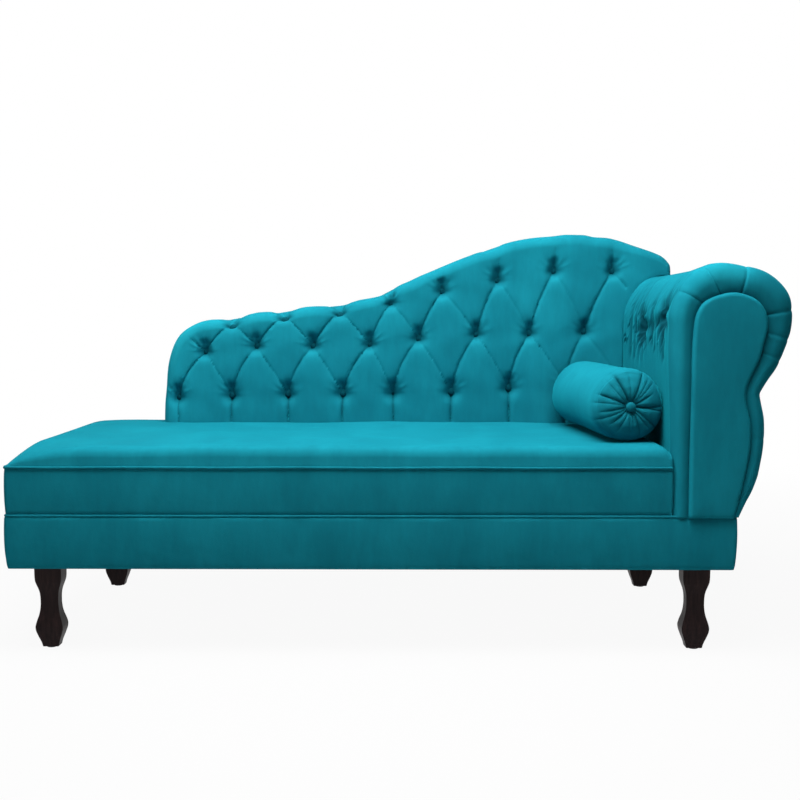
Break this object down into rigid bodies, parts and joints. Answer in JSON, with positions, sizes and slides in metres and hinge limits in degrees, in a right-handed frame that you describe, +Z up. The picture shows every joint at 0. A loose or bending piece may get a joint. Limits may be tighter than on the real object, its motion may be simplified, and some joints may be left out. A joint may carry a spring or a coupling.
{
  "type": "fainting couch",
  "caption": "Upholstered fainting couch with a boxed seat, buttoned sloping back, one scroll arm, loose bolster and shaped wooden legs.",
  "frame": {"origin": "middle of the footprint on the floor", "axes": "+X along the seat towards the scroll arm, -Y the front that faces the sitter's feet, +Z up"},
  "size_m": [1.71, 0.663, 0.9715],
  "materials": {
    "velvet": "plain woven velvet with a short pile and a soft sheen",
    "leg_wood": "very dark brown satin stain",
    "pine": "planed, unfinished",
    "plywood": "sanded plywood, unfinished",
    "card": "thin hardboard, unfinished",
    "webbing": "elastic webbing, matt",
    "felt": "needled felt, matt",
    "foam": "open-cell upholstery foam, matt",
    "dust_cloth": "thin non-woven cloth, matt",
    "twine": "waxed button twine",
    "zinc_steel": "zinc plated",
    "glide_plastic": "matt black"
  },
  "bodies": {
    "couch": {"leg_front_left": "leg_wood", "leg_front_right": "leg_wood", "leg_rear_left": "leg_wood", "leg_rear_right": "leg_wood", "foot_glides": "glide_plastic", "hanger_bolts": "zinc_steel", "tee_nuts": "zinc_steel", "front_rail": "pine", "rear_rail": "pine", "left_end_rail": "pine", "right_end_rail": "pine", "cross_bearer_left": "pine", "cross_bearer_middle": "pine", "cross_bearer_right": "pine", "corner_blocks": "pine", "frame_screws": "zinc_steel", "seat_webbing_lengthwise": "webbing", "seat_webbing_crosswise": "webbing", "webbing_staples": "zinc_steel", "seat_insulator": "felt", "seat_foam": "foam", "seat_top_cover": "velvet", "seat_boxing": "velvet", "upper_piping": "velvet", "lower_piping": "velvet", "rail_cover": "velvet", "dust_cover": "dust_cloth", "back_panel": "plywood", "back_crest_rail": "pine", "back_post_left": "pine", "back_post_middle": "pine", "back_post_right": "pine", "back_bolts": "zinc_steel", "back_foam": "foam", "back_tufted_cover": "velvet", "tuft_buttons": "velvet", "button_twine": "twine", "twine_washers": "zinc_steel", "back_outer_cover": "velvet", "arm_front_board": "plywood", "arm_rear_board": "plywood", "arm_bottom_rail": "pine", "arm_inner_rail": "pine", "arm_outer_rail": "pine", "arm_inner_panel": "card", "arm_roll_board": "card", "arm_foam": "foam", "arm_cover": "velvet", "arm_rear_cover": "velvet", "arm_facing_board": "plywood", "arm_facing_cover": "velvet", "arm_screws": "zinc_steel"},
    "bolster": {"bolster_core": "foam", "bolster_cover": "velvet", "bolster_button_front": "velvet", "bolster_button_rear": "velvet"}
  },
  "joints": [
    {"name": "bolster_lift", "type": "slide", "parent": "couch", "child": "bolster", "axis": [-0.0993, -0.0596, 0.9933], "range_m": [0, 0.6]}
  ]
}
